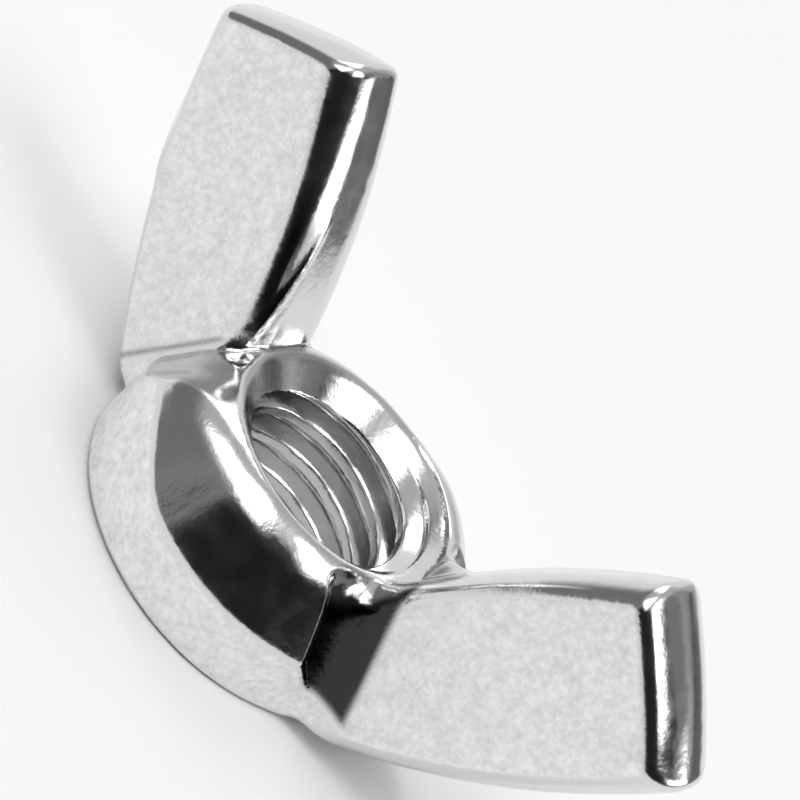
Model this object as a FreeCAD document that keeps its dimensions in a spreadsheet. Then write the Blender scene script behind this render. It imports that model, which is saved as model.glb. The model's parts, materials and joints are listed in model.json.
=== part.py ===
import FreeCAD, Part
import math
import os

import Sketcher

# Wing nut, cold forged in one piece: a round hub with a tapped hole and two wings.
# Frame: the origin is where the thread's axis meets the bearing face, +Z runs along the axis
# towards the wings, and the wings point along +X and -X. Millimetres and degrees.

NODE = "wing_nut"
QUARTER_TURN = math.pi / 2

SIZES = {
    # thread, 3/8-16 UNC right hand
    "thread_diameter": 9.525,
    "thread_pitch": 1.5875,
    "thread_depth": 0.7725,
    "mouth_flare": 0.5,
    "base_flare": 0.2,
    "groove_height": 1.0,
    "bore_overcut": 0.15,
    # hub
    "hub_wall": 3.2375,
    "hub_height": 6.5,
    "dome_height": 3.52,
    "rim_land": 0.4,
    "base_round": 0.35,
    # wings: a level foot near the base, then a middle line that leans outwards
    "foot_drop": 6.05,
    "foot_reach": 1.1,
    "line_sink": 1.26,
    "line_drop": 4.55,
    "wing_lean": 32.25,
    "wing_length": 15.45,
    "foot_width": 5.65,
    "middle_width": 8.17,
    "tip_width": 7.6,
    "foot_thickness": 5.55,
    "tip_thickness": 4.2,
    "edge_round": 1.2,
    "tip_round": 0.9,
    "root_blend": 0.2,
}

# sizes that follow from the ones above
DERIVED = {
    "hub_radius": "thread_diameter / 2 + hub_wall",
    "major_radius": "thread_diameter / 2",
    "crest_radius": "thread_diameter / 2 - thread_depth",
    "mouth_radius": "thread_diameter / 2 + mouth_flare",
    "base_mouth_radius": "thread_diameter / 2 + base_flare",
    "rim_radius": "thread_diameter / 2 + mouth_flare + rim_land",
    "side_height": "hub_height - dome_height",
    "foot_offset": "hub_radius + foot_reach - foot_width / 2",
    "foot_height": "hub_height - foot_drop",
    "line_offset": "hub_radius - line_sink",
    "line_height": "hub_height - line_drop",
}


def fill_sheet(doc):
    """Put every driving size in its own cell, with its name as the alias."""
    sheet = doc.addObject("Spreadsheet::Sheet", "sizes")
    row = 1
    for name, value in SIZES.items():
        sheet.set(f"A{row}", name)
        sheet.set(f"B{row}", str(value))
        sheet.setAlias(f"B{row}", name)
        row += 1
    for name, formula in DERIVED.items():
        sheet.set(f"A{row}", name)
        sheet.set(f"B{row}", "=" + formula)
        sheet.setAlias(f"B{row}", name)
        row += 1
    doc.recompute()
    return sheet


def origin_feature(body, role):
    """One of the body's own origin planes or axes, found by its role."""
    return next(item for item in body.Origin.OriginFeatures if item.Role == role)


def new_sketch(body, name, role):
    """An empty sketch on one of the body's origin planes."""
    sketch = body.newObject("Sketcher::SketchObject", name)
    sketch.AttachmentSupport = [(origin_feature(body, role), "")]
    sketch.MapMode = "FlatFace"
    return sketch


def drive(sketch, constraint, formula):
    """Add a dimension to a sketch and bind it to a formula of the sheet's names."""
    index = sketch.addConstraint(constraint)
    sketch.setExpression(f"Constraints[{index}]", formula)


def closed_outline(sketch, points):
    """Join points with straight lines into a closed outline and return the lines' numbers."""
    lines = []
    for start, end in zip(points, points[1:] + points[:1]):
        segment = Part.LineSegment(FreeCAD.Vector(*start, 0), FreeCAD.Vector(*end, 0))
        lines.append(sketch.addGeometry(segment))
    for line, following in zip(lines, lines[1:] + lines[:1]):
        sketch.addConstraint(Sketcher.Constraint("Coincident", line, 2, following, 1))
    return lines


def place_point(sketch, line, end, across, up):
    """Fix the end of a line at a formula's distance across and up from the sketch's origin."""
    drive(sketch, Sketcher.Constraint("DistanceX", -1, 1, line, end, 1.0), across)
    drive(sketch, Sketcher.Constraint("DistanceY", -1, 1, line, end, 1.0), up)


def hub_profile(body):
    """Half section of the solid hub: flat base, straight side and a domed shoulder."""
    sketch = new_sketch(body, "hub_profile", "XZ_Plane")
    size = SIZES
    radius = size["thread_diameter"] / 2 + size["hub_wall"]
    rim = size["thread_diameter"] / 2 + size["mouth_flare"] + size["rim_land"]
    height = size["hub_height"]
    side = height - size["dome_height"]
    corners = [(0, height), (0, 0), (radius, 0), (radius, side)]
    lines = []
    for start, end in zip(corners, corners[1:]):
        segment = Part.LineSegment(FreeCAD.Vector(*start, 0), FreeCAD.Vector(*end, 0))
        lines.append(sketch.addGeometry(segment))
    axis, base, wall = lines
    middle = FreeCAD.Vector(rim + 0.75 * (radius - rim), side + 0.7 * (height - side), 0)
    shoulder = sketch.addGeometry(
        Part.Arc(FreeCAD.Vector(radius, side, 0), middle, FreeCAD.Vector(rim, height, 0)))
    top = sketch.addGeometry(
        Part.LineSegment(FreeCAD.Vector(rim, height, 0), FreeCAD.Vector(0, height, 0)))
    sketch.addConstraint([
        Sketcher.Constraint("Coincident", axis, 2, base, 1),
        Sketcher.Constraint("Coincident", base, 2, wall, 1),
        Sketcher.Constraint("Tangent", wall, 2, shoulder, 1),
        Sketcher.Constraint("Coincident", shoulder, 2, top, 1),
        Sketcher.Constraint("Coincident", top, 2, axis, 1),
        Sketcher.Constraint("Coincident", axis, 2, -1, 1),
        Sketcher.Constraint("Vertical", axis),
        Sketcher.Constraint("Horizontal", base),
        Sketcher.Constraint("Vertical", wall),
        Sketcher.Constraint("Horizontal", top),
    ])
    drive(sketch, Sketcher.Constraint("DistanceX", -1, 1, wall, 1, radius), "sizes.hub_radius")
    drive(sketch, Sketcher.Constraint("DistanceY", -1, 1, wall, 2, side), "sizes.side_height")
    drive(sketch, Sketcher.Constraint("DistanceX", -1, 1, top, 1, rim), "sizes.rim_radius")
    drive(sketch, Sketcher.Constraint("DistanceY", -1, 1, top, 1, height), "sizes.hub_height")
    return sketch


def make_hub(body):
    """Turn the half section about the thread's axis."""
    sketch = hub_profile(body)
    hub = body.newObject("PartDesign::Revolution", "hub")
    hub.Profile = sketch
    hub.ReferenceAxis = (sketch, ["V_Axis"])
    hub.Angle = 360
    hub.Refine = False
    return hub


def leaning_section(body, name, width, thickness, distance):
    """Section square to a wing's middle line, at a distance along that line."""
    sketch = wing_section(body, name, width, thickness)
    sketch.AttachmentOffset = FreeCAD.Placement(
        FreeCAD.Vector(0, 0, 0), FreeCAD.Rotation(FreeCAD.Vector(0, 1, 0), 1))
    lean = "sizes.wing_lean * 1 deg"
    sketch.setExpression("AttachmentOffset.Rotation.Angle", lean)
    sketch.setExpression(
        "AttachmentOffset.Base.x", f"(sizes.line_offset + {distance} * sin({lean})) * 1 mm")
    sketch.setExpression(
        "AttachmentOffset.Base.z", f"(sizes.line_height + {distance} * cos({lean})) * 1 mm")
    return sketch


def level_section(body, name, width, thickness):
    """Level section at the foot of a wing, just above the base."""
    sketch = wing_section(body, name, width, thickness)
    sketch.setExpression("AttachmentOffset.Base.x", "sizes.foot_offset * 1 mm")
    sketch.setExpression("AttachmentOffset.Base.z", "sizes.foot_height * 1 mm")
    return sketch


def wing_section(body, name, width, thickness):
    """Rounded oblong centred on its sketch's own origin."""
    sketch = new_sketch(body, name, "XY_Plane")
    half_width, half_depth, corner = 3.0, 2.5, 1.0
    quarters = [(1, 1), (-1, 1), (-1, -1), (1, -1)]
    arcs = []
    for turn, (side_x, side_y) in enumerate(quarters):
        centre = FreeCAD.Vector(side_x * (half_width - corner), side_y * (half_depth - corner), 0)
        circle = Part.Circle(centre, FreeCAD.Vector(0, 0, 1), corner)
        arc = Part.ArcOfCircle(circle, turn * QUARTER_TURN, (turn + 1) * QUARTER_TURN)
        arcs.append(sketch.addGeometry(arc))
    sides = []
    for arc, following in zip(arcs, arcs[1:] + arcs[:1]):
        start = sketch.getPoint(arc, 2)
        end = sketch.getPoint(following, 1)
        sides.append(sketch.addGeometry(Part.LineSegment(start, end)))
    for arc, side, following in zip(arcs, sides, arcs[1:] + arcs[:1]):
        sketch.addConstraint(Sketcher.Constraint("Tangent", arc, 2, side, 1))
        sketch.addConstraint(Sketcher.Constraint("Tangent", side, 2, following, 1))
    back, inner, front, outer = sides
    sketch.addConstraint([
        Sketcher.Constraint("Horizontal", back),
        Sketcher.Constraint("Vertical", inner),
        Sketcher.Constraint("Horizontal", front),
        Sketcher.Constraint("Vertical", outer),
        Sketcher.Constraint("Equal", arcs[0], arcs[1]),
        Sketcher.Constraint("Equal", arcs[1], arcs[2]),
        Sketcher.Constraint("Equal", arcs[2], arcs[3]),
        Sketcher.Constraint("Symmetric", back, 1, front, 1, -1, 1),
    ])
    drive(sketch, Sketcher.Constraint("Radius", arcs[0], corner), "sizes.edge_round")
    drive(sketch, Sketcher.Constraint("DistanceX", -1, 1, outer, 1, half_width), f"{width} / 2")
    drive(sketch, Sketcher.Constraint("DistanceY", -1, 1, back, 1, half_depth), f"{thickness} / 2")
    return sketch


def make_wings(body):
    """Loft the +X wing through its foot, middle and tip sections, then mirror it."""
    foot = level_section(body, "wing_foot", "sizes.foot_width", "sizes.foot_thickness")
    middle = leaning_section(
        body, "wing_middle", "sizes.middle_width",
        "(sizes.foot_thickness + sizes.tip_thickness) / 2", "sizes.wing_length / 2")
    tip = leaning_section(
        body, "wing_tip", "sizes.tip_width", "sizes.tip_thickness", "sizes.wing_length")
    wing = body.newObject("PartDesign::AdditiveLoft", "wing")
    wing.Profile = foot
    wing.Sections = [middle, tip]
    wing.Refine = False
    body.Document.recompute()
    pair = body.newObject("PartDesign::Mirrored", "wing_pair")
    pair.Originals = [wing]
    pair.MirrorPlane = (origin_feature(body, "YZ_Plane"), [""])
    pair.Refine = False
    body.Tip = pair
    body.Document.recompute()
    return pair


def edge_names(shape, wanted):
    """Names of the edges for which wanted(shape, edge) is true."""
    return [f"Edge{number}" for number, edge in enumerate(shape.Edges, 1) if wanted(shape, edge)]


def faces_at(shape, edge):
    """The faces that meet along an edge."""
    return [face for face in shape.Faces if any(side.isSame(edge) for side in face.Edges)]


def is_root_edge(shape, edge):
    """True where a lofted wing face runs into the round side or the dome of the hub."""
    surfaces = [face.Surface for face in faces_at(shape, edge)]
    on_wing = any(isinstance(surface, Part.BSplineSurface) for surface in surfaces)
    on_hub = any(isinstance(surface, (Part.Cylinder, Part.Toroid)) for surface in surfaces)
    return on_wing and on_hub


def is_base_edge(sheet, edge):
    """True for the hub's bottom outer edge."""
    on_base = all(abs(vertex.Z) < 1e-6 for vertex in edge.Vertexes)
    is_round = isinstance(edge.Curve, Part.Circle)
    return on_base and is_round and abs(edge.Curve.Radius - sheet.hub_radius) < 1e-6


def round_edges(body, name, wanted, radius):
    """Fillet the chosen edges of the body as it stands."""
    base = body.Tip
    fillet = body.newObject("PartDesign::Fillet", name)
    fillet.Base = (base, edge_names(base.Shape, wanted))
    fillet.setExpression("Radius", f"sizes.{radius} * 1 mm")
    fillet.Refine = False
    body.Tip = fillet
    body.Document.recompute()
    return fillet


def tip_plane_distance(sheet, point):
    """How far a point is beyond the plane of the nearer wing's tip."""
    lean = FreeCAD.Rotation(FreeCAD.Vector(0, 1, 0), sheet.wing_lean)
    along = lean.multVec(FreeCAD.Vector(0, 0, 1))
    start = FreeCAD.Vector(sheet.line_offset, 0, sheet.line_height)
    folded = FreeCAD.Vector(abs(point.x), point.y, point.z)
    return (folded - start).dot(along) - sheet.wing_length


def is_tip_edge(sheet, edge):
    """True for the outline of a wing's flat tip."""
    return all(abs(tip_plane_distance(sheet, vertex.Point)) < 1e-4 for vertex in edge.Vertexes)


def make_bore(body):
    """Drill through at the thread's crest size, the circle drawn as four quarter arcs."""
    sketch = new_sketch(body, "drill_circle", "XY_Plane")
    radius = 4.0
    circle = Part.Circle(FreeCAD.Vector(0, 0, 0), FreeCAD.Vector(0, 0, 1), radius)
    arcs = []
    for turn in range(4):
        arc = Part.ArcOfCircle(circle, turn * QUARTER_TURN, (turn + 1) * QUARTER_TURN)
        arcs.append(sketch.addGeometry(arc))
    for arc in arcs:
        sketch.addConstraint(Sketcher.Constraint("Coincident", arc, 3, -1, 1))
    for arc, following in zip(arcs, arcs[1:]):
        sketch.addConstraint(Sketcher.Constraint("Coincident", arc, 2, following, 1))
    for turn, arc in enumerate(arcs):
        sheet_axis = -1 if turn % 2 == 0 else -2
        sketch.addConstraint(Sketcher.Constraint("PointOnObject", arc, 1, sheet_axis))
    sketch.addConstraint(Sketcher.Constraint("PointOnObject", arcs[3], 2, -1))
    drive(sketch, Sketcher.Constraint("Radius", arcs[0], radius), "sizes.crest_radius")
    bore = body.newObject("PartDesign::Pocket", "bore")
    bore.Profile = sketch
    bore.Type = "ThroughAll"
    bore.Midplane = True
    bore.Refine = False
    body.Tip = bore
    body.Document.recompute()
    return bore


def make_mouths(body):
    """Countersink both ends of the hole at 45 degrees, out past the thread's full depth."""
    sketch = new_sketch(body, "mouth_profile", "XZ_Plane")
    inner = "(sizes.crest_radius - sizes.bore_overcut)"
    upper = closed_outline(sketch, [(3.8, 6.5), (5.2, 6.5), (3.8, 5.1)])
    place_point(sketch, upper[0], 1, inner, "sizes.hub_height")
    place_point(sketch, upper[1], 1, "sizes.mouth_radius", "sizes.hub_height")
    place_point(sketch, upper[2], 1, inner, f"sizes.hub_height - (sizes.mouth_radius - {inner})")
    lower = closed_outline(sketch, [(3.8, 0), (3.8, 1.4), (5.2, 0)])
    sketch.addConstraint(Sketcher.Constraint("PointOnObject", lower[0], 1, -1))
    drive(sketch, Sketcher.Constraint("DistanceX", -1, 1, lower[0], 1, 3.8), inner)
    place_point(sketch, lower[1], 1, inner, f"sizes.base_mouth_radius - {inner}")
    sketch.addConstraint(Sketcher.Constraint("PointOnObject", lower[2], 1, -1))
    drive(
        sketch, Sketcher.Constraint("DistanceX", -1, 1, lower[2], 1, 5.2),
        "sizes.base_mouth_radius")
    mouths = body.newObject("PartDesign::Groove", "mouths")
    mouths.Profile = sketch
    mouths.ReferenceAxis = (sketch, ["V_Axis"])
    mouths.Angle = 360
    mouths.Refine = False
    body.Tip = mouths
    body.Document.recompute()
    return mouths


def make_thread(body):
    """Cut the 60 degree thread as a helix that runs out through both mouths."""
    sketch = new_sketch(body, "thread_groove", "XZ_Plane")
    start = "(sizes.groove_height - 2 * sizes.thread_pitch)"
    slope = "tan(30 deg)"
    root_half = "sizes.thread_pitch / 16"
    crest_half = (f"({root_half} + (sizes.thread_depth + sizes.bore_overcut) * {slope})")
    inner = "(sizes.crest_radius - sizes.bore_overcut)"
    points = [(3.8, -3.0), (4.76, -2.5), (4.76, -2.3), (3.8, -1.8)]
    lines = closed_outline(sketch, points)
    offsets = [
        (inner, f"-{crest_half}"), ("sizes.major_radius", f"-{root_half}"),
        ("sizes.major_radius", f"+{root_half}"), (inner, f"+{crest_half}"),
    ]
    for line, (across, offset) in zip(lines, offsets):
        drive(sketch, Sketcher.Constraint("DistanceX", -1, 1, line, 1, 1.0), across)
        # the outline lies below the origin, so its heights are given as drops
        drive(sketch, Sketcher.Constraint("DistanceY", line, 1, -1, 1, 1.0), f"-({start} {offset})")
    thread = body.newObject("PartDesign::SubtractiveHelix", "thread")
    thread.Profile = sketch
    thread.ReferenceAxis = (sketch, ["V_Axis"])
    thread.Mode = 0
    thread.setExpression("Pitch", "sizes.thread_pitch * 1 mm")
    thread.setExpression("Height", "(sizes.hub_height + 4 * sizes.thread_pitch) * 1 mm")
    thread.Angle = 0
    thread.LeftHanded = False
    thread.Reversed = False
    thread.Refine = False
    body.Tip = thread
    body.Document.recompute()
    return thread


def check(doc, body):
    """Stop if any object failed or the part isn't one valid solid."""
    for item in doc.Objects:
        if "Invalid" in item.State or "Error" in item.State:
            raise RuntimeError(f"{item.Name} failed: {item.State}")
    shape = body.Shape
    if shape.isNull() or not shape.isValid() or len(shape.Solids) != 1:
        raise RuntimeError("the wing nut is not one valid solid")


def main():
    doc = FreeCAD.newDocument(NODE)
    sheet = fill_sheet(doc)
    body = doc.addObject("PartDesign::Body", NODE)
    body.Label = NODE
    make_hub(body)
    doc.recompute()
    make_wings(body)
    round_edges(body, "root_blends", is_root_edge, "root_blend")
    round_edges(body, "tip_rounds", lambda shape, edge: is_tip_edge(sheet, edge), "tip_round")
    round_edges(body, "base_rounds", lambda shape, edge: is_base_edge(sheet, edge), "base_round")
    make_bore(body)
    make_mouths(body)
    make_thread(body)
    doc.recompute()
    check(doc, body)
    os.makedirs("parts", exist_ok=True)
    body.Shape.exportStep(f"parts/{NODE}.step")
    print(NODE, "volume", round(body.Shape.Volume, 1), "box", body.Shape.BoundBox)


main()
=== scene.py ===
import json
import math

import bpy
import numpy as np
from mathutils import Matrix, Vector


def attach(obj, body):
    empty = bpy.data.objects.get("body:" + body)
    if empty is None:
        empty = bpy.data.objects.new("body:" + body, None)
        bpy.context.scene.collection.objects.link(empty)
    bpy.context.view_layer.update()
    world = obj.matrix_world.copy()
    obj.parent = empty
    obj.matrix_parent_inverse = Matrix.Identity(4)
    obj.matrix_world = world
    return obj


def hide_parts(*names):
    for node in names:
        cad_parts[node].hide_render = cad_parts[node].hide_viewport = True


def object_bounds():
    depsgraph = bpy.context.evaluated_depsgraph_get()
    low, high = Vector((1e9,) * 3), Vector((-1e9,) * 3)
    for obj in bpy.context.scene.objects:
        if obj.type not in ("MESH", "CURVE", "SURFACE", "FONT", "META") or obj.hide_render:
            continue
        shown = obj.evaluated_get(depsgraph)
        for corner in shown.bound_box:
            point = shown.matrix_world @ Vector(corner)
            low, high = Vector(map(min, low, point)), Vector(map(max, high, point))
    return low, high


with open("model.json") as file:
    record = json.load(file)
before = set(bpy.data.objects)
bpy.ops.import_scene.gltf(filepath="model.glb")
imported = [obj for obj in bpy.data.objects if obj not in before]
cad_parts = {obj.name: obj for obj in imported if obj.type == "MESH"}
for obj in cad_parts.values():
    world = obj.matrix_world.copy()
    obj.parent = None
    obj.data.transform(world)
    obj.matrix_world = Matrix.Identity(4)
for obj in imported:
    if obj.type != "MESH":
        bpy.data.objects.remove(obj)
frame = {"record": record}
cad_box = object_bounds()

MM = 0.001

# ---------------------------------------------------------------- sizes, millimetres and degrees
PITCH = 1.5875
MAJOR = 9.525 / 2
CREST = frame["record"]["mounts"][0]["dims"]["r_mm"]
MOUTH = MAJOR + 0.55
MOUTH_SLOPE = 1.25
BASE_MOUTH = CREST + 0.4
GROOVE_HEIGHT = 1.0
HUB_RADIUS = 8.0
HUB_HEIGHT = 6.5
SIDE_HEIGHT = 2.98
DRAFT = math.radians(25)
LINE_X = HUB_RADIUS - 1.26
LINE_Z = HUB_HEIGHT - 4.55
LEAN = math.radians(32.25)
LENGTH = 15.45
HALF_WIDTHS = (2.8, 4.085, 3.78)
HALF_THICKNESSES = (2.775, 2.1)
ROLL_WIDTH = 1.05
ROLL_DEPTH = 1.75
FOOT_RISE = 0.7
# the plane over the dome lies this far above the hub's height; the blend brings it down
DOME_RISE = 0.25
# the whole surface lies this far inside its nominal shape, and the wing tips make up for it
INSET = 0.02
TIP_GAIN = 0.02

# reach of the blends where two surfaces meet
DOME_ROUND = 1.8
WALL_ROUND = 0.12
TIP_ROUND = 0.45
FOOT_ROUND = 0.5
EDGE_ROUND = 0.35
ROOT_ROUND = 0.22
REAR_ROOT_ROUND = 2.6
FRONT_ROOT_ROUND = 0.8

# where the matte flats begin: a line that leans towards the hub as it rises
FLAT_LINE_X = 7.35
FLAT_LINE_SHIFT = 0.45
FLAT_LINE_Z = 4.92
FLAT_LINE_SLOPE = 0.5
ROOT_SWELL = 0.2
# the web's painted shade fades in between these two heights, and the seam fades out
WEB_FADE = (2.0, 2.4)

VOXEL = 0.14
SETTLING_STEPS = 4


# ---------------------------------------------------------------- shape as one signed field
def soft_min(a, b, reach):
    """The smaller of two fields, blended where they differ by less than reach."""
    mix = np.clip(0.5 + 0.5 * (b - a) / reach, 0, 1)
    return b + (a - b) * mix - reach * mix * (1 - mix)


def soft_max(a, b, reach):
    return -soft_min(-a, -b, reach)


def rounded(offsets, radii):
    """Near-true distance to a box's rounded outside; offsets run from where each round starts."""
    over = [np.maximum(offset, 0) / radius for offset, radius in zip(offsets, radii)]
    size = np.sqrt(sum(part ** 2 for part in over))
    steep = np.sqrt(sum((part / radius) ** 2 for part, radius in zip(over, radii)))
    outside = size * (size - 1) / np.maximum(steep, 1e-6)
    inside = np.maximum.reduce([offset - radius for offset, radius in zip(offsets, radii)])
    return np.where(size > 0.35, outside, np.minimum(inside, -0.2))


def lattice(i, j, k, seed):
    """A repeatable value from 0 to 1 for each whole-number lattice point."""
    mixed = (i * 374761393 + j * 668265263 + k * 2147483647 + seed * 974634777) & 0xFFFFFFFF
    mixed = ((mixed ^ (mixed >> 13)) * 1274126177) & 0xFFFFFFFF
    return ((mixed ^ (mixed >> 16)) & 0xFFFF) / 65535.0


def noise(x, y, z, cell, seed):
    """Smooth value noise from -1 to 1, with features about one cell wide."""
    places = [np.asarray(value, float) / cell for value in (x, y, z)]
    base = [np.floor(place).astype(np.int64) for place in places]
    part = [place - low for place, low in zip(places, base)]
    part = [share * share * (3 - 2 * share) for share in part]
    total = 0
    for i in (0, 1):
        for j in (0, 1):
            for k in (0, 1):
                weight = ((part[0] if i else 1 - part[0]) * (part[1] if j else 1 - part[1])
                          * (part[2] if k else 1 - part[2]))
                total = total + weight * lattice(base[0] + i, base[1] + j, base[2] + k, seed)
    return 2 * total - 1


def ramp(value, low, high):
    """Smooth step from 0 at low to 1 at high."""
    share = np.clip((value - low) / (high - low), 0, 1)
    return share * share * (3 - 2 * share)


def web_share(x, y, z):
    """1 on the hub's side next to a wing's flat, falling to 0 along a line down to the base."""
    reach = np.minimum(2.6 + 0.56 * z, 4.3)
    return ramp(reach - np.abs(y), -0.1, 0.4) * ramp(np.abs(x), 4.2, 4.8)


def root_depth(x, z):
    """How far a point is towards the hub from the line where a wing's flat begins."""
    line = FLAT_LINE_X + FLAT_LINE_SHIFT * np.sign(x) + FLAT_LINE_SLOPE * (FLAT_LINE_Z - z)
    return line - np.abs(x)


def hub_field(x, y, z):
    """Solid hub: straight side, then a steep shoulder up to a dome.

    The shoulder starts lower beside the +X wing's front and higher at the front left and rear right.
    """
    radius = np.sqrt(x * x + y * y)
    lowered = web_share(x, y, z) * ramp(x, -1, 1)
    raised_front = 1.5 * ramp(-x, 0.0, 5.0) * ramp(-y, 4.0, 6.0)
    raised_rear = 1.2 * ramp(x, -2.0, 2.0) * ramp(y, 0.0, 3.0)
    start = SIDE_HEIGHT - lowered + raised_front + raised_rear
    slope = (radius - HUB_RADIUS) * math.cos(DRAFT) + (z - start) * math.sin(DRAFT)
    crown = soft_max(slope, z - HUB_HEIGHT - DOME_RISE, DOME_ROUND)
    return soft_max(crown, radius - HUB_RADIUS, WALL_ROUND)


def hole_radius(x, y, z):
    """Radius of the tapped hole's wall at each point, countersunk at both mouths."""
    turn = np.arctan2(y, x) / (2 * math.pi)
    phase = (z - GROOVE_HEIGHT) / PITCH - turn
    off_root = np.abs(phase - np.round(phase)) * PITCH
    flank = MAJOR - (off_root - PITCH / 16) * math.sqrt(3)
    thread = soft_max(soft_min(flank, MAJOR, 0.1), CREST, 0.12)
    top = MOUTH - MOUTH_SLOPE * np.maximum(HUB_HEIGHT - z, 0)
    base = BASE_MOUTH - np.maximum(z, 0)
    return soft_max(thread, np.maximum(top, base), 0.1)


def wing_place(x, z):
    """Distance along a wing's middle line and distance across it, towards its outer edge."""
    dx = np.abs(x) - LINE_X
    dz = z - LINE_Z
    along = dx * math.sin(LEAN) + dz * math.cos(LEAN)
    across = dx * math.cos(LEAN) - dz * math.sin(LEAN)
    return along, across


def wing_field(x, y, z):
    """Both wings: rounded slabs that bulge between foot and tip, the -X one slightly trimmed."""
    along, across = wing_place(x, z)
    trim = ramp(-x, -0.5, 0.5)
    share = np.clip(along / LENGTH, -0.25, 1.2)
    foot, middle, tip = HALF_WIDTHS
    half = (foot * (1 - share) * (1 - 2 * share) + middle * 4 * share * (1 - share)
            + tip * share * (2 * share - 1))
    half = half - 0.2 * trim * ramp(share, 0.45, 1.0) * ramp(across, 0.0, 2.0)
    thick = HALF_THICKNESSES[0] * (1 - share) + HALF_THICKNESSES[1] * share
    thick = thick + ROOT_SWELL * np.clip(root_depth(x, z), 0, 1.3) * ramp(-y, 0, 1)
    bulge = 0.7 - 0.35 * trim
    end = LENGTH + TIP_GAIN - 0.06 * trim
    end = end - 0.2 * (across / tip) ** 2 - bulge * (y / thick) ** 2
    roll = ROLL_WIDTH + 0.4 * trim * ramp(share, 0.5, 1.0) * ramp(-across, 0.0, 2.0)
    offsets = (np.abs(across) - (half - roll), np.abs(y) - (thick - ROLL_DEPTH))
    slab = soft_max(rounded(offsets, (roll, ROLL_DEPTH)), along - end, TIP_ROUND)
    return soft_max(slab, FOOT_RISE - z, FOOT_ROUND)


def crumple(x, y, z):
    """Forging folds at the front roots of the wings and a ridge up one inner edge."""
    spot = ((np.abs(x) - 5.5) / 1.3) ** 2 + ((y + 2.7) / 1.1) ** 2 + ((z - 6.5) / 0.9) ** 2
    fold = np.exp(-spot) * (0.16 * noise(x, y, z, 0.9, 3) + 0.03 * noise(x, y, z, 0.45, 4))
    line = (y + 0.6 + 0.29 * (12.0 - z)) / 0.2
    ridge = np.exp(-line ** 2) * ramp(-x, 4.5, 5.2) * ramp(-z, -12.2, -10.0) * ramp(z, 6.0, 7.0)
    return fold - 0.1 * ridge


def nut_field(x, y, z):
    """The whole nut, slightly uneven all over and folded at the roots."""
    radius = np.sqrt(x * x + y * y)
    rear = ramp(y, 0.3, 2.0)
    front = ramp(-y, 0.3, 2.0)
    reach = ROOT_ROUND + (REAR_ROOT_ROUND * rear + FRONT_ROOT_ROUND * front) * ramp(x, 0.0, 2.0)
    solid = soft_min(hub_field(x, y, z), wing_field(x, y, z), reach)
    solid = solid + INSET + 0.018 * noise(x, y, z, 2.3, 1) + 0.006 * noise(x, y, z, 0.9, 2)
    solid = soft_max(solid + crumple(x, y, z), -z, EDGE_ROUND)
    return soft_max(solid, hole_radius(x, y, z) - radius, EDGE_ROUND)


# ---------------------------------------------------------------- field to mesh
def surface_net(field, low, high, step):
    """Quads over the field's zero surface, one vertex to each grid cell that it crosses."""
    axes = [np.arange(low[i] - 2 * step, high[i] + 3 * step, step) for i in range(3)]
    y, z = np.meshgrid(axes[1], axes[2], indexing="ij")
    values = np.stack([field(np.full_like(y, x), y, z) for x in axes[0]]).astype(np.float32)
    inside = values < 0
    size = values.shape
    count = np.zeros([n - 1 for n in size], np.uint8)
    corners = [(i, j, k) for i in (0, 1) for j in (0, 1) for k in (0, 1)]
    for i, j, k in corners:
        count += inside[i:size[0] - 1 + i, j:size[1] - 1 + j, k:size[2] - 1 + k]
    cells = np.argwhere((count > 0) & (count < 8))
    number = np.full(count.shape, -1, np.int32)
    number[tuple(cells.T)] = np.arange(len(cells))
    total = np.zeros((len(cells), 3))
    hits = np.zeros(len(cells))
    for a in corners:
        for axis in range(3):
            if a[axis]:
                continue
            b = list(a)
            b[axis] = 1
            va = values[cells[:, 0] + a[0], cells[:, 1] + a[1], cells[:, 2] + a[2]].astype(float)
            vb = values[cells[:, 0] + b[0], cells[:, 1] + b[1], cells[:, 2] + b[2]].astype(float)
            cross = (va < 0) != (vb < 0)
            share = np.where(cross, va / np.where(cross, va - vb, 1), 0)
            point = np.array(a, float) + share[:, None] * (np.array(b) - np.array(a))
            total += np.where(cross[:, None], point, 0)
            hits += cross
    points = (cells + total / hits[:, None]) * step + [axis[0] for axis in axes]
    quads = []
    for axis in range(3):
        first = [slice(0, n) for n in size]
        second = [slice(0, n) for n in size]
        first[axis] = slice(0, size[axis] - 1)
        second[axis] = slice(1, size[axis])
        start = inside[tuple(first)]
        end = inside[tuple(second)]
        one, two = [other for other in range(3) if other != axis]
        for leaving in (True, False):
            found = np.argwhere((start & ~end) if leaving else (~start & end))
            ring = []
            for back_one, back_two in ((0, 0), (1, 0), (1, 1), (0, 1)):
                cell = found.copy()
                cell[:, one] -= back_one
                cell[:, two] -= back_two
                ring.append(number[tuple(cell.T)])
            ring = np.stack(ring, 1)
            flip = leaving == (axis == 1)
            quads.append(ring[:, ::-1] if flip else ring)
    return points, np.concatenate(quads)


def slopes(field, points, reach=0.01):
    """Gradient of the field at each point."""
    columns = []
    for axis in range(3):
        ahead = points.copy()
        behind = points.copy()
        ahead[:, axis] += reach
        behind[:, axis] -= reach
        columns.append((field(*ahead.T) - field(*behind.T)) / (2 * reach))
    return np.stack(columns, 1)


def settle(field, points, step):
    """Move each point onto the zero surface."""
    for _ in range(SETTLING_STEPS):
        slope = slopes(field, points)
        steep = np.maximum((slope ** 2).sum(1), 0.05)
        move = (field(*points.T) / steep)[:, None] * slope
        length = np.linalg.norm(move, axis=1)[:, None]
        points = points - move * np.minimum(1, step / np.maximum(length, 1e-9))
    return points


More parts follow.
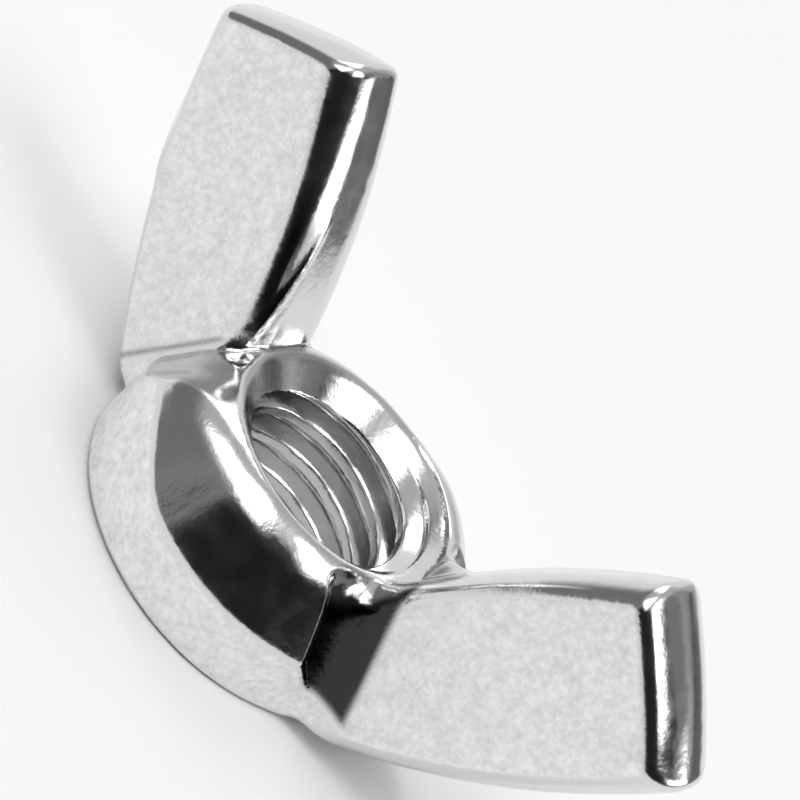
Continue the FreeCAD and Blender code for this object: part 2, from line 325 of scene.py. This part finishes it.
def mesh_object(name, points, quads, normals, material):
    mesh = bpy.data.meshes.new(name)
    mesh.vertices.add(len(points))
    mesh.vertices.foreach_set("co", (points * MM).ravel())
    mesh.loops.add(quads.size)
    mesh.loops.foreach_set("vertex_index", quads.ravel())
    mesh.polygons.add(len(quads))
    mesh.polygons.foreach_set("loop_start", np.arange(0, quads.size, 4))
    mesh.update(calc_edges=True)
    mesh.validate()
    mesh.shade_smooth()
    mesh.normals_split_custom_set_from_vertices(normals)
    mesh.materials.append(material)
    piece = bpy.data.objects.new(name, mesh)
    bpy.context.collection.objects.link(piece)
    return piece


# ---------------------------------------------------------------- material
def add_shares(piece, points, normals):
    """Mark where the dies pressed the surface matte, and where shade is painted into the colour at
    the wing roots and edges.
    """
    x, y, z = points.T
    hub = hub_field(x, y, z)
    wing = wing_field(x, y, z)
    radius = np.hypot(x, y)
    along, _ = wing_place(x, z)
    depth = root_depth(x, z)
    steep = -np.abs(normals[:, 2])
    front = ramp(-y, 1.2, 1.8)
    high = ramp(z, *WEB_FADE)

    # painted shade: darkens the +X wing's front web where it meets the hub, above the fade heights
    web_shade = web_share(x, y, z) * ramp(radius, 6.2, 6.6) * front * ramp(x, 0, 1) * high
    web_shade = web_shade * ramp(depth, -0.15, 0.25)
    # painted shade: a thin dark line where the -X wing's flat steps down to the hub at the front
    ledge_shade = np.exp(-(depth / 0.12) ** 2) * front * ramp(-x, 1, 2) * ramp(-z, -6.2, -5.6)
    # painted shade: darkens the front of the -X wing's inner edge between heights of about 7 and 12,
    # dimming its reflection
    inner_edge_shade = ramp(-normals[:, 1], 0.1, 0.3) * ramp(-z, -12.6, -11.0) * ramp(z, 6.8, 7.6)
    inner_edge_shade = inner_edge_shade * ramp(normals[:, 0], 0.45, 0.6) * ramp(hub - wing, 0.2, 0.5) * ramp(-x, 5.0, 6.0)
    # the three painted shades, summed into one share that darkens the colour
    painted_shade = web_shade + 0.6 * ledge_shade + 0.8 * inner_edge_shade

    flat = ramp(np.abs(normals[:, 1]), 0.955, 0.985) * ramp(hub - wing, 0.15, 0.5)
    flat = flat * ramp(LENGTH - along, 0.6, 0.9)
    wall = ramp(steep, -0.2, -0.07) * ramp(radius, 7.2, 7.5) * ramp(wing - hub, 0.05, 0.3)
    seam = ramp(steep, -0.4, -0.2) * front * ramp(np.abs(x), 5.5, 6.2)
    seam = seam * (1 - high) * ramp(0.5 - np.abs(hub - wing), 0.0, 0.2)
    pressed = np.maximum.reduce((flat, wall, seam)) * (1 - web_shade)

    for name, share in (("pressed", pressed), ("painted_shade", painted_shade)):
        attribute = piece.data.attributes.new(name, "FLOAT", "POINT")
        attribute.data.foreach_set("value", share.astype(np.float32))


def zinc():
    """Zinc plate: pale, matte and mottled where the dies pressed, darker and glossier elsewhere,
    with shade painted into the colour at the wing roots and edges.
    """
    material = bpy.data.materials.new("zinc_plate")
    material.use_nodes = True
    tree = material.node_tree
    shader = tree.nodes["Principled BSDF"]
    shader.inputs["Metallic"].default_value = 1.0

    def join(source, target, socket):
        tree.links.new(source, target.inputs[socket])

    def texture(scale, detail, roughness):
        made = tree.nodes.new("ShaderNodeTexNoise")
        made.inputs["Scale"].default_value = scale
        made.inputs["Detail"].default_value = detail
        made.inputs["Roughness"].default_value = roughness
        join(place.outputs["Object"], made, "Vector")
        return made.outputs["Fac"]

    def share(name):
        made = tree.nodes.new("ShaderNodeAttribute")
        made.attribute_name = name
        return made.outputs["Fac"]

    def remap(value, start, end):
        """Turn the span start of a value into the span end."""
        made = tree.nodes.new("ShaderNodeMapRange")
        made.inputs["From Min"].default_value, made.inputs["From Max"].default_value = start
        made.inputs["To Min"].default_value, made.inputs["To Max"].default_value = end
        join(value, made, "Value")
        return made.outputs["Result"]

    def multiply(first, second):
        made = tree.nodes.new("ShaderNodeMath")
        made.operation = "MULTIPLY"
        join(first, made, 0)
        join(second, made, 1)
        return made.outputs["Value"]

    def mix(factor, first, second):
        """Blend two values, each a plain number or a node's output."""
        made = tree.nodes.new("ShaderNodeMix")
        made.data_type = "FLOAT"
        join(factor, made, 0)
        for socket, value in ((2, first), (3, second)):
            if isinstance(value, float):
                made.inputs[socket].default_value = value
            else:
                join(value, made, socket)
        return made.outputs[0]

    def bump(height, strength, distance):
        made = tree.nodes.new("ShaderNodeBump")
        made.inputs["Strength"].default_value = strength
        made.inputs["Distance"].default_value = distance
        join(height, made, "Height")
        return made

    place = tree.nodes.new("ShaderNodeTexCoord")
    pressed = share("pressed")
    painted_shade = share("painted_shade")
    cloud = texture(1300.0, 5.0, 0.65)
    pits = texture(3600.0, 3.0, 0.7)

    mottle = remap(cloud, (0.35, 0.65), (0.87, 1.0))
    grain = remap(pits, (0.3, 0.7), (0.84, 1.05))
    shade = mix(pressed, 0.72, multiply(mottle, grain))
    # painted shade: the colour darkens down to 0.06 of itself where the marked share reaches 1
    tone = multiply(shade, remap(painted_shade, (0.0, 1.0), (1.0, 0.06)))
    colour = tree.nodes.new("ShaderNodeCombineColor")
    for channel in ("Red", "Green", "Blue"):
        join(tone, colour, channel)
    join(colour.outputs["Color"], shader, "Base Color")

    join(mix(pressed, remap(cloud, (0.3, 0.7), (0.11, 0.2)), 0.5), shader, "Roughness")

    fine = bump(pits, 0.2, 0.00003)
    coarse = bump(cloud, 0.2, 0.00006)
    join(fine.outputs["Normal"], coarse, "Normal")
    join(coarse.outputs["Normal"], shader, "Normal")
    return material


# ---------------------------------------------------------------- camera, light and floor
# angles in degrees, distances in millimetres, the lens as Blender's focal length
CAMERA_AZIMUTH = 18.783
CAMERA_ELEVATION = 29.789
CAMERA_ROLL = 51.113
CAMERA_DISTANCE = 108.5104
CAMERA_LENS = 123.20949
CAMERA_AIM_HEIGHT = 5.6
CAMERA_AIM_RIGHT = 2.676
CAMERA_AIM_UP = 2.9928

# half of the floor's side, in metres
FLOOR_REACH = 2.0

# each patch of the surroundings: bearings, heights and softness in degrees, and added brightness;
# bearing 0 looks towards -Y and 90 towards +X
STUDIO = (
    ((-14, 118), (-60, 58), 5, -0.5),
    ((-104, -16), (-10, 42), 10, -0.31),
    ((-48, 14), (46, 80), 5, 3.2),
    ((-132, -104), (36, 70), 4, 3.2),
    ((62, 108), (46, 76), 4, 3.4),
    ((106, 148), (32, 62), 5, -0.3),
    ((-168, -112), (-30, 45), 8, 0.35),
    ((101, 136), (9, 30), 3, 3.2),
    ((137, 172), (-20, 22), 4, -0.36),
    ((150, 172), (20, 60), 8, -0.2),
)
STUDIO_LEVEL = 0.5
STUDIO_DARKEST = 0.012


def camera_axes(azimuth, elevation, roll):
    """Right, up and backward directions of a camera that looks at the nut."""
    a, e, r = (math.radians(angle) for angle in (azimuth, elevation, roll))
    back = Vector((math.sin(a) * math.cos(e), -math.cos(a) * math.cos(e), math.sin(e)))
    level = Vector((math.cos(a), math.sin(a), 0))
    upright = back.cross(level)
    right = math.cos(r) * level + math.sin(r) * upright
    up = math.cos(r) * upright - math.sin(r) * level
    return right, up, back


def add_camera():
    right, up, back = camera_axes(CAMERA_AZIMUTH, CAMERA_ELEVATION, CAMERA_ROLL)
    aim = Vector((0, 0, CAMERA_AIM_HEIGHT)) + right * CAMERA_AIM_RIGHT + up * CAMERA_AIM_UP
    data = bpy.data.cameras.new("camera")
    data.lens = CAMERA_LENS
    data.clip_start = 0.001
    camera = bpy.data.objects.new("camera", data)
    columns = Matrix((right, up, back)).transposed().to_4x4()
    camera.matrix_world = Matrix.Translation((aim + back * CAMERA_DISTANCE) * MM) @ columns
    bpy.context.collection.objects.link(camera)
    bpy.context.scene.camera = camera


def add_floor():
    signs = ((-1, -1), (1, -1), (1, 1), (-1, 1))
    corners = [(FLOOR_REACH * x, FLOOR_REACH * y, 0) for x, y in signs]
    mesh = bpy.data.meshes.new("floor")
    mesh.from_pydata(corners, [], [(0, 1, 2, 3)])
    material = bpy.data.materials.new("floor")
    material.use_nodes = True
    shader = material.node_tree.nodes["Principled BSDF"]
    shader.inputs["Base Color"].default_value = (0.97, 0.97, 0.97, 1)
    shader.inputs["Roughness"].default_value = 0.8
    mesh.materials.append(material)
    floor = bpy.data.objects.new("floor", mesh)
    bpy.context.collection.objects.link(floor)


def studio_world():
    """Grey surroundings with darker and brighter patches."""
    world = bpy.data.worlds.new("studio")
    world.use_nodes = True
    tree = world.node_tree
    background = tree.nodes["Background"]
    place = tree.nodes.new("ShaderNodeTexCoord")
    split = tree.nodes.new("ShaderNodeSeparateXYZ")
    tree.links.new(place.outputs["Generated"], split.inputs["Vector"])

    def math_node(operation, first, second=None):
        made = tree.nodes.new("ShaderNodeMath")
        made.operation = operation
        for socket, value in zip(made.inputs, (first, second)):
            if value is None:
                continue
            if isinstance(value, (int, float)):
                socket.default_value = value
            else:
                tree.links.new(value, socket)
        return made.outputs["Value"]

    def band(value, low, high, soft):
        """1 between two angles in degrees, with soft edges."""
        masks = []
        for edge, start, end in ((low, 0.0, 1.0), (high, 1.0, 0.0)):
            made = tree.nodes.new("ShaderNodeMapRange")
            made.interpolation_type = "SMOOTHSTEP"
            made.inputs["From Min"].default_value = math.radians(edge - soft)
            made.inputs["From Max"].default_value = math.radians(edge + soft)
            made.inputs["To Min"].default_value = start
            made.inputs["To Max"].default_value = end
            tree.links.new(value, made.inputs["Value"])
            masks.append(made.outputs["Result"])
        return math_node("MULTIPLY", *masks)

    bearing = math_node("ARCTAN2", split.outputs["X"], math_node("MULTIPLY", split.outputs["Y"], -1))
    height = math_node("ARCSINE", split.outputs["Z"])
    level = None
    for bearings, heights, soft, strength in STUDIO:
        patch = math_node("MULTIPLY", band(bearing, *bearings, soft), band(height, *heights, soft))
        patch = math_node("MULTIPLY", patch, strength)
        level = patch if level is None else math_node("ADD", level, patch)
    level = math_node("ADD", level, STUDIO_LEVEL)
    level = math_node("MAXIMUM", level, STUDIO_DARKEST)
    tree.links.new(level, background.inputs["Strength"])
    background.inputs["Color"].default_value = (1, 1, 1, 1)
    bpy.context.scene.world = world


low, high = (np.array(corner) / MM for corner in cad_box)
points, quads = surface_net(nut_field, low, high, VOXEL)
points = settle(nut_field, points, VOXEL)
normals = slopes(nut_field, points)
normals /= np.linalg.norm(normals, axis=1)[:, None]
nut = mesh_object("nut", points, quads, normals, zinc())
add_shares(nut, points, normals)
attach(nut, "root")
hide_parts("wing_nut")

add_camera()
add_floor()
studio_world()
bpy.context.scene.view_settings.view_transform = "Standard"
